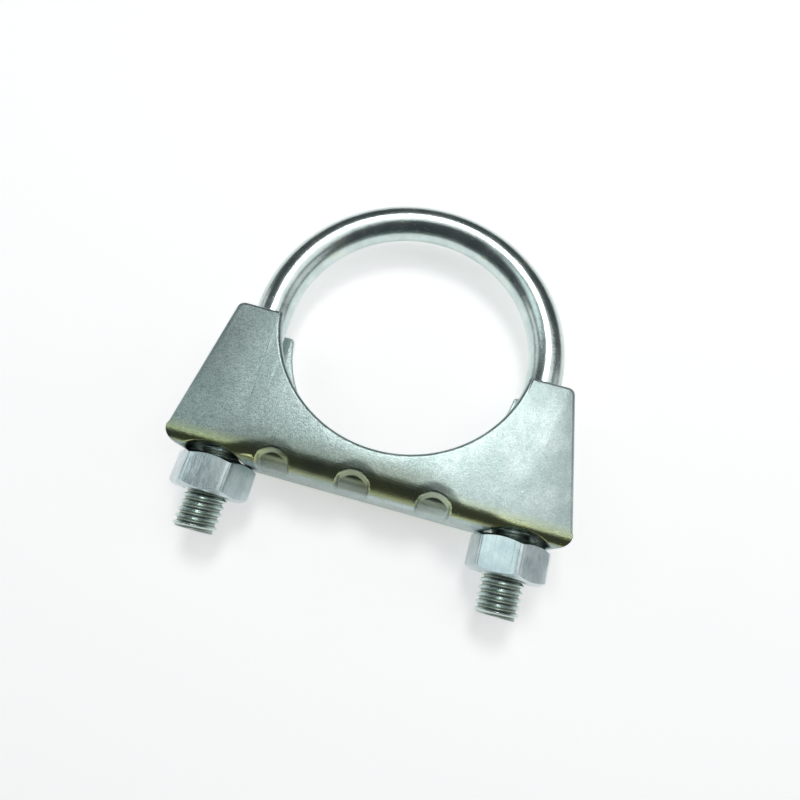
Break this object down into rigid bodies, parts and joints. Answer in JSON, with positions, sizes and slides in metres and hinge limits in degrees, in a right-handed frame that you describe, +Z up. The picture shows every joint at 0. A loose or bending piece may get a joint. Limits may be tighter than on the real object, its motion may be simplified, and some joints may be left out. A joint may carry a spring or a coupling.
{
  "type": "u-bolt",
  "caption": "U-bolt saddle clamp: a bent threaded rod and hex nuts that draw a pressed channel saddle against a round pipe.",
  "frame": {"origin": "on the gripped pipe's axis, midway between the saddle's two walls", "axes": "+X across the legs to the right, +Y from the nuts to the crown of the U, +Z along the pipe's axis; lying on its back wall, +Z is up"},
  "size_m": [0.0724, 0.0766, 0.0152],
  "materials": {
    "plated_rod": "bright zinc plate on smooth drawn rod and rolled thread",
    "plated_sheet": "satin zinc plate on fine-grained pressed sheet",
    "plated_nut": "bright zinc plate with drawn lines along the axis"
  },
  "bodies": {
    "u_bolt": {"u_bolt": "plated_rod"},
    "saddle": {"saddle": "plated_sheet"},
    "nut_left": {"nut_left": "plated_nut"},
    "nut_right": {"nut_right": "plated_nut"}
  },
  "joints": [
    {"name": "saddle_slide", "type": "slide", "parent": "u_bolt", "child": "saddle", "axis": [0, 1, 0], "range_m": [-0.006, 0.003]},
    {"name": "nut_left_turn", "type": "hinge", "parent": "saddle", "child": "nut_left", "pos_m": [-0.02765, -0.0354, 0], "axis": [0, 1, 0], "range_deg": [-1730, 866]},
    {"name": "nut_right_turn", "type": "hinge", "parent": "saddle", "child": "nut_right", "pos_m": [0.02765, -0.0354, 0], "axis": [0, 1, 0], "range_deg": [-1730, 866]}
  ],
  "couplings": [
    {"joint": "nut_left_turn", "follows": "saddle_slide", "rad_per_m": 5026.5},
    {"joint": "nut_right_turn", "follows": "saddle_slide", "rad_per_m": 5026.5}
  ]
}
